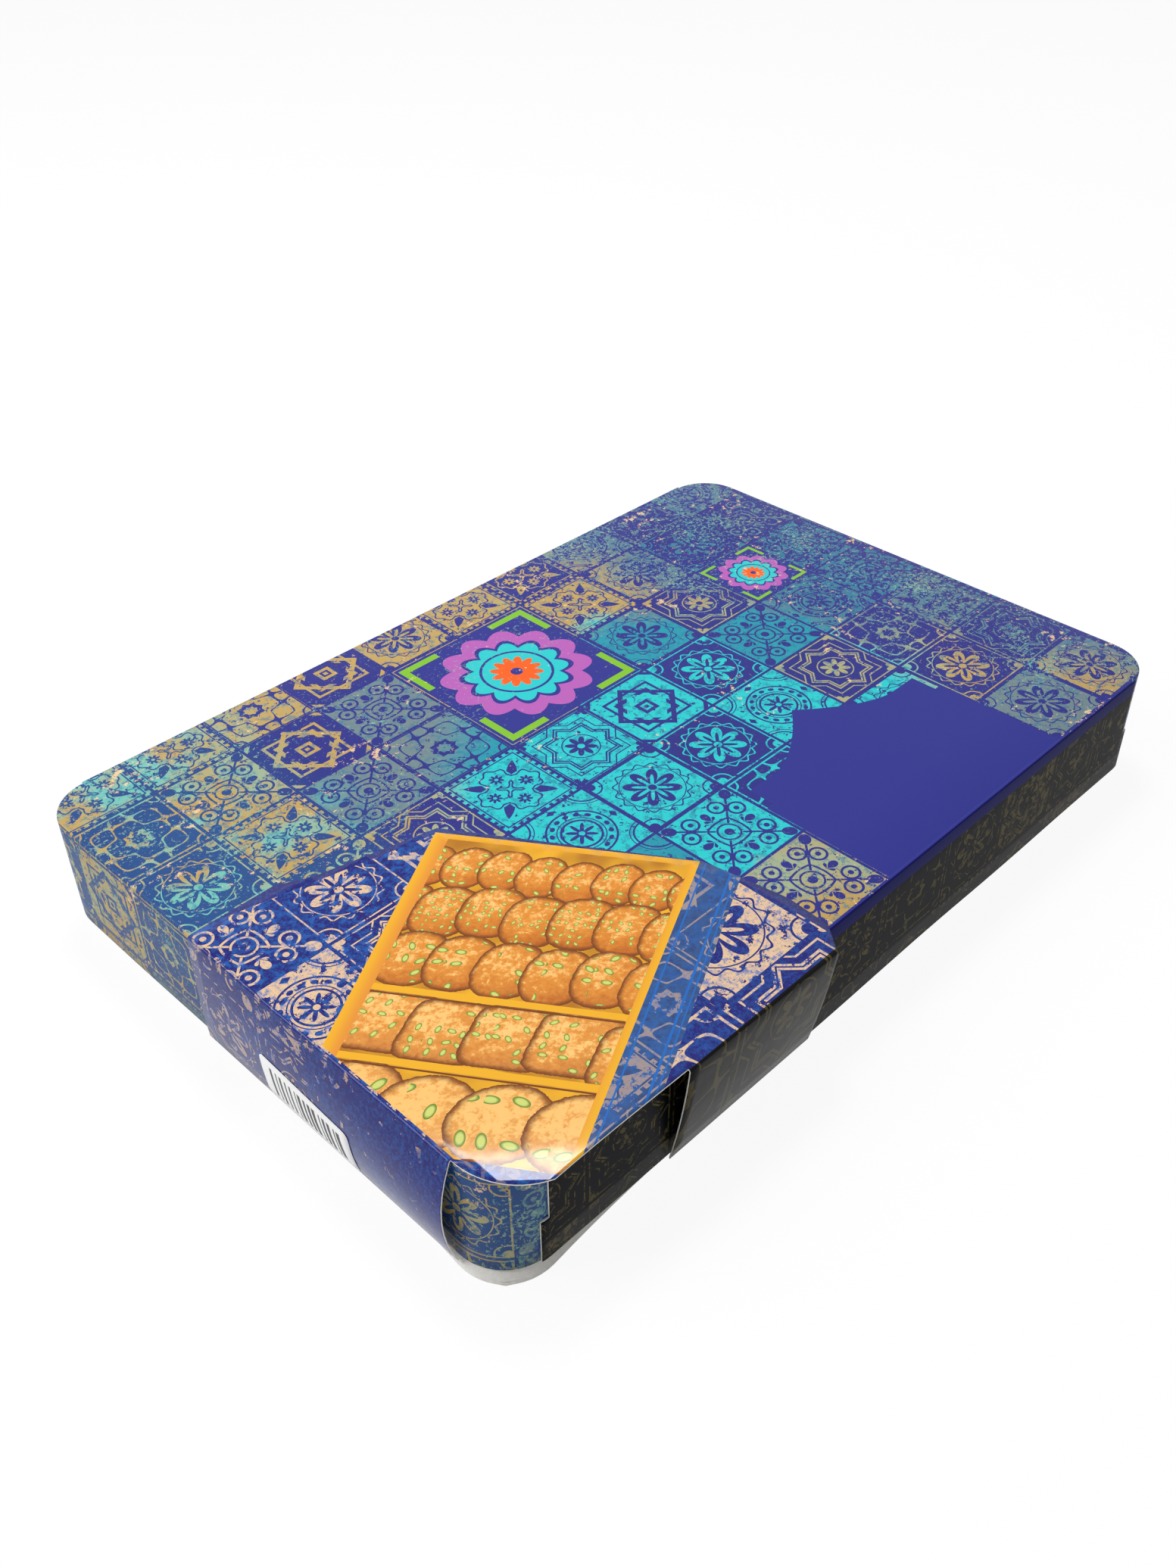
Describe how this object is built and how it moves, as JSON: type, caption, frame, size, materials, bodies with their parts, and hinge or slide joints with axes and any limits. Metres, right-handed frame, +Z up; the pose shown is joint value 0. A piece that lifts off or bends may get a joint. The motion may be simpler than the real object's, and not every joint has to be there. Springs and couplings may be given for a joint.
{
  "type": "sweet gift box",
  "caption": "Shallow round-cornered telescoping gift carton with full-depth lid, corner wrap, gold liner with dividers, and rows of baked sweets.",
  "frame": {"origin": "centre of the base's flat underside, on the surface that the box rests on", "axes": "+Z up; +X along the long side, away from the wrapped corner's end; +Y along the short side, away from the wrapped corner's long flap"},
  "size_m": [0.3027, 0.2071, 0.04],
  "materials": {
    "printed_lid_board": "satin laminated print, many-coloured tiles on royal blue",
    "white_board": "plain white, slightly glossy coated board",
    "printed_wrap_card": "gloss laminated print, amber picture on dark blue",
    "label_paper": "white, satin",
    "gold_card": "metallised gold, satin",
    "greaseproof_paper": "translucent, matt",
    "crumble_pastry": "rough baked crumble",
    "golden_biscuit": "baked, matt",
    "brown_biscuit": "baked, matt",
    "rolled_pastry": "baked, slightly shiny",
    "pistachio": "matt"
  },
  "bodies": {
    "base": {"bar_pistachios": "pistachio", "base_tray": "white_board", "cover_sheet": "greaseproof_paper", "crumble_bars": "crumble_pastry", "divider_1": "gold_card", "divider_2": "gold_card", "divider_3": "gold_card", "divider_4": "gold_card", "divider_5": "gold_card", "flat_biscuit_pistachios": "pistachio", "flat_biscuits": "golden_biscuit", "liner_tray": "gold_card", "pastry_rolls_1": "rolled_pastry", "pastry_rolls_2": "rolled_pastry", "pastry_rolls_3": "rolled_pastry", "round_biscuit_pistachios": "pistachio", "round_biscuits": "brown_biscuit"},
    "lid": {"lid": "printed_lid_board"},
    "wrap": {"corner_wrap": "printed_wrap_card", "barcode_label": "label_paper"}
  },
  "joints": [
    {"name": "lid_lift", "type": "slide", "parent": "base", "child": "lid", "axis": [0, 0, 1], "range_m": [0, 0.06]},
    {"name": "wrap_slide", "type": "slide", "parent": "lid", "child": "wrap", "axis": [-0.7071, -0.7071, 0], "range_m": [0, 0.17]}
  ]
}
